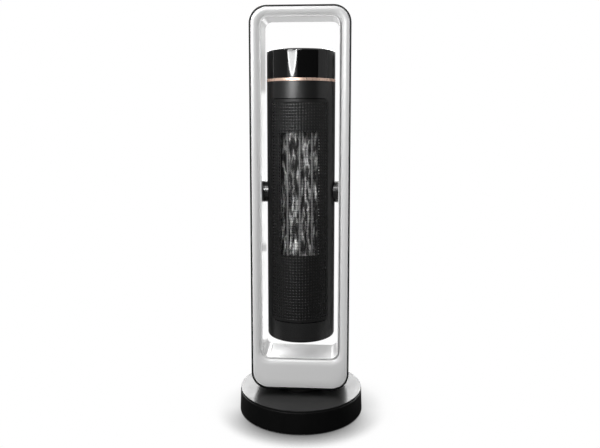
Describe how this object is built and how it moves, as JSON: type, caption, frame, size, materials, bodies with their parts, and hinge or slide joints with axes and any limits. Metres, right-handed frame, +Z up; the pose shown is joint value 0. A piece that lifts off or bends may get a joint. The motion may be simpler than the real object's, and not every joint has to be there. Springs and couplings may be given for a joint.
{
  "type": "ceramic fan heater",
  "caption": "Tower fan heater: a tall drum with a ceramic element and a cross-flow blower, tilting in an upright rounded frame on a round swinging base.",
  "frame": {"origin": "middle of the round base, on the surface that the rubber feet stand on", "axes": "+Z up, -Y is the front with the hot-air grille, +X to the right of someone facing the front from outside"},
  "size_m": [0.2212, 0.2212, 0.7134],
  "materials": {
    "gloss_black": "gloss black moulded plastic",
    "base_gloss": "gloss black moulded plastic",
    "matt_black": "fine-grained matt black plastic",
    "grille_black": "matt black moulded plastic",
    "inner_black": "dull black heat-proof plastic",
    "band_black": "satin black plastic",
    "frame_white": "satin white plastic",
    "copper_trim": "polished rose copper plating",
    "rubber_black": "matt rubber",
    "natural_nylon": "natural slippery nylon",
    "zinc_steel": "zinc-plated steel",
    "cast_iron": "raw casting",
    "motor_steel": "plated motor can",
    "fin_aluminium": "bright mill finish",
    "bar_aluminium": "dull anodised",
    "brass_tab": "bare brass",
    "board_green": "coated glass-fibre board",
    "lens_smoke": "smoked acrylic",
    "filter_grey": "fine nylon mesh",
    "wire_insulation": "silicone sleeve"
  },
  "bodies": {
    "base": {"base_shell": "base_gloss", "base_cover": "base_gloss", "base_floor_plate": "inner_black", "rubber_feet": "rubber_black", "base_screws": "zinc_steel", "ballast_ring": "cast_iron", "turntable_bearing": "natural_nylon", "swing_motor": "motor_steel", "tip_switch_housing": "inner_black", "tip_switch_spring": "zinc_steel", "cord_gland": "rubber_black", "rocker_housing": "gloss_black"},
    "tip_plunger": {"tip_switch_plunger": "natural_nylon"},
    "rocker": {"power_rocker": "gloss_black"},
    "pinion": {"swing_pinion": "natural_nylon"},
    "frame": {"turntable": "matt_black", "turntable_gear": "natural_nylon", "foot_bracket": "zinc_steel", "bracket_screws": "zinc_steel", "frame_front_shell": "frame_white", "frame_rear_shell": "frame_white", "opening_liner": "frame_white", "outer_band": "band_black", "frame_screws": "zinc_steel", "frame_wiring": "wire_insulation", "left_pivot_bush": "matt_black", "right_pivot_bush": "matt_black"},
    "drum": {"drum_front_shell": "matt_black", "drum_rear_shell": "matt_black", "drum_screws": "zinc_steel", "front_grille": "grille_black", "drum_bottom_cap": "matt_black", "accent_ring": "copper_trim", "top_cap": "gloss_black", "display_lens": "lens_smoke", "tact_switches": "inner_black", "control_board": "board_green", "power_board": "board_green", "blower_lower_plate": "inner_black", "blower_upper_plate": "inner_black", "blower_bearing": "brass_tab", "blower_motor": "motor_steel", "blower_scroll": "zinc_steel", "heater_frame": "inner_black", "ptc_bars": "bar_aluminium", "heater_fins": "fin_aluminium", "heater_terminals": "brass_tab", "thermal_cutout": "inner_black", "left_trunnion": "matt_black", "right_trunnion": "matt_black"},
    "blower": {"blower_wheel": "bar_aluminium", "blower_shaft": "zinc_steel"},
    "intake": {"intake_cover": "matt_black", "dust_filter": "filter_grey"},
    "power_key": {"power_key": "gloss_black"},
    "mode_key": {"mode_key": "gloss_black"},
    "swing_key": {"swing_key": "gloss_black"},
    "timer_key": {"timer_key": "gloss_black"}
  },
  "joints": [
    {"name": "swing", "type": "hinge", "parent": "base", "child": "frame", "pos_m": [0, 0, 0.042], "axis": [0, 0, 1], "range_deg": [-35, 35]},
    {"name": "pinion_turn", "type": "hinge", "parent": "base", "child": "pinion", "pos_m": [0, -0.04, 0.0265], "axis": [0, 0, 1], "range_deg": [-106, 106]},
    {"name": "tilt", "type": "hinge", "parent": "frame", "child": "drum", "pos_m": [0, 0, 0.3966], "axis": [1, 0, 0], "range_deg": [-30, 30]},
    {"name": "blower_spin", "type": "hinge", "parent": "drum", "child": "blower", "pos_m": [0, 0.015, 0.395], "axis": [0, 0, 1], "continuous": true},
    {"name": "tip_plunger_travel", "type": "slide", "parent": "base", "child": "tip_plunger", "axis": [0, 0, -1], "range_m": [0, 0.004], "stiffness_N_per_m": 150, "springref_m": 0.006, "deforming": ["tip_switch_spring"]},
    {"name": "rocker_turn", "type": "hinge", "parent": "base", "child": "rocker", "pos_m": [0.05909, 0.0876, 0.0217], "axis": [0.829, -0.5592, 0], "range_deg": [-20, 0]},
    {"name": "intake_pull", "type": "slide", "parent": "drum", "child": "intake", "axis": [0, 1, 0], "range_m": [0, 0.06]},
    {"name": "power_key_press", "type": "slide", "parent": "drum", "child": "power_key", "axis": [0, 0, -1], "range_m": [0, 0.0008], "stiffness_N_per_m": 600},
    {"name": "mode_key_press", "type": "slide", "parent": "drum", "child": "mode_key", "axis": [0, 0, -1], "range_m": [0, 0.0008], "stiffness_N_per_m": 600},
    {"name": "swing_key_press", "type": "slide", "parent": "drum", "child": "swing_key", "axis": [0, 0, -1], "range_m": [0, 0.0008], "stiffness_N_per_m": 600},
    {"name": "timer_key_press", "type": "slide", "parent": "drum", "child": "timer_key", "axis": [0, 0, -1], "range_m": [0, 0.0008], "stiffness_N_per_m": 600}
  ],
  "couplings": [
    {"joint": "pinion_turn", "follows": "swing", "ratio": -3}
  ]
}
